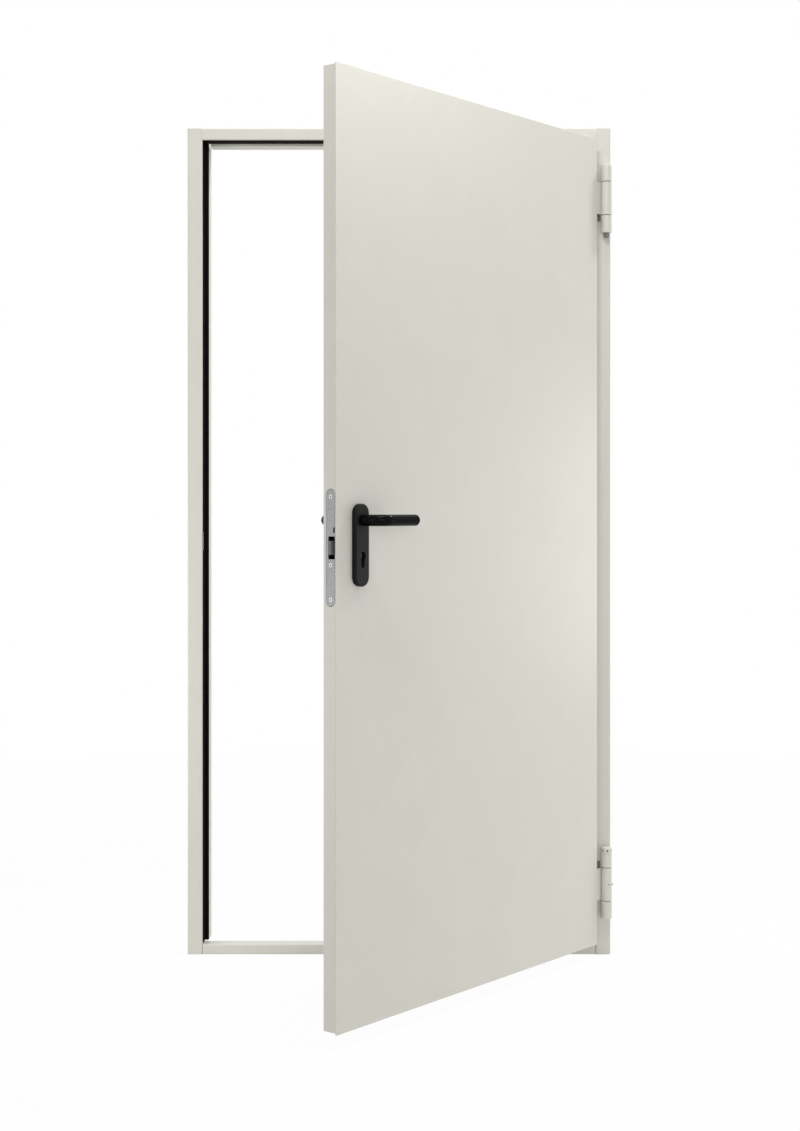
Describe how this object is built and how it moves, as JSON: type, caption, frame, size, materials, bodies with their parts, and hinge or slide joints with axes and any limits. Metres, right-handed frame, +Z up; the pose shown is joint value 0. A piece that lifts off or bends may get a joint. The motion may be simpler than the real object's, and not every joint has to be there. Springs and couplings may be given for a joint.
{
  "type": "fire door with frame",
  "caption": "Single-leaf steel fire door hung in a folded steel frame with threshold, self-closing hinge, lever handle on long plates and a sprung latch.",
  "frame": {"origin": "middle of the threshold underside, on the floor, half way through the rebate depth", "axes": "+Z up, +X along the frame towards the hinge side, +Y from the opening side through the frame"},
  "size_m": [1.0294, 0.8614, 2],
  "materials": {
    "door_paint": "satin",
    "seal_rubber": "matte",
    "fire_strip": "matte",
    "black_plastic": "satin",
    "mineral_wool": "matte",
    "zinc_steel": "satin",
    "bright_steel": "satin",
    "dark_steel": "satin",
    "washer_grey": "matte"
  },
  "bodies": {
    "frame": {"hinge_jamb": "door_paint", "lock_jamb": "door_paint", "head_rail": "door_paint", "threshold_bar": "door_paint", "corner_brackets": "zinc_steel", "lock_wall_anchors": "zinc_steel", "hinge_wall_anchors": "zinc_steel", "lock_jamb_gasket": "seal_rubber", "hinge_jamb_gasket": "seal_rubber", "lock_jamb_strip": "fire_strip", "hinge_jamb_strip": "fire_strip", "head_strip": "fire_strip", "strike_box": "black_plastic", "hinge_pockets": "black_plastic", "top_hinge_frame_knuckles": "door_paint", "top_hinge_pin": "bright_steel", "top_hinge_washers": "washer_grey", "height_screw": "dark_steel", "bottom_hinge_frame_knuckles": "door_paint", "bottom_hinge_pin": "bright_steel", "bottom_hinge_washers": "washer_grey", "spring_collar": "door_paint", "closing_spring": "bright_steel"},
    "leaf": {"front_skin": "door_paint", "back_skin": "door_paint", "core": "mineral_wool", "hinge_backing_plates": "zinc_steel", "top_hinge_leaf_wing": "door_paint", "bottom_hinge_leaf_wing": "door_paint", "wing_screws": "zinc_steel", "tension_pin": "door_paint", "lock_faceplate": "zinc_steel", "lock_case": "zinc_steel", "lock_cover": "zinc_steel", "faceplate_screws": "zinc_steel", "cylinder_screw": "zinc_steel", "latch_spring": "bright_steel", "front_plate": "black_plastic", "back_plate": "black_plastic", "front_base_plate": "zinc_steel", "back_base_plate": "zinc_steel", "plate_bolts": "zinc_steel"},
    "levers": {"front_lever": "black_plastic", "back_lever": "black_plastic", "grub_screws": "dark_steel", "spindle": "bright_steel", "follower": "zinc_steel"},
    "latch": {"latch_bolt": "zinc_steel"}
  },
  "joints": [
    {"name": "door_swing", "type": "hinge", "parent": "frame", "child": "leaf", "pos_m": [0.5015, -0.0345, 1], "axis": [0, 0, 1], "range_deg": [-52, 72], "stiffness_Nm_per_rad": 2.5, "springref_deg": -103.13},
    {"name": "lever_turn", "type": "hinge", "parent": "leaf", "child": "levers", "pos_m": [-0.07765, -0.73111, 1.0555], "axis": [-0.788, 0.6157, 0], "range_deg": [0, 40], "stiffness_Nm_per_rad": 1.2, "springref_deg": -51.57},
    {"name": "latch_slide", "type": "slide", "parent": "leaf", "child": "latch", "axis": [0.6157, 0.788, 0], "range_m": [0, 0.012], "deforming": ["latch_spring"]}
  ],
  "couplings": [
    {"joint": "latch_slide", "follows": "lever_turn", "m_per_rad": 0.017046}
  ]
}
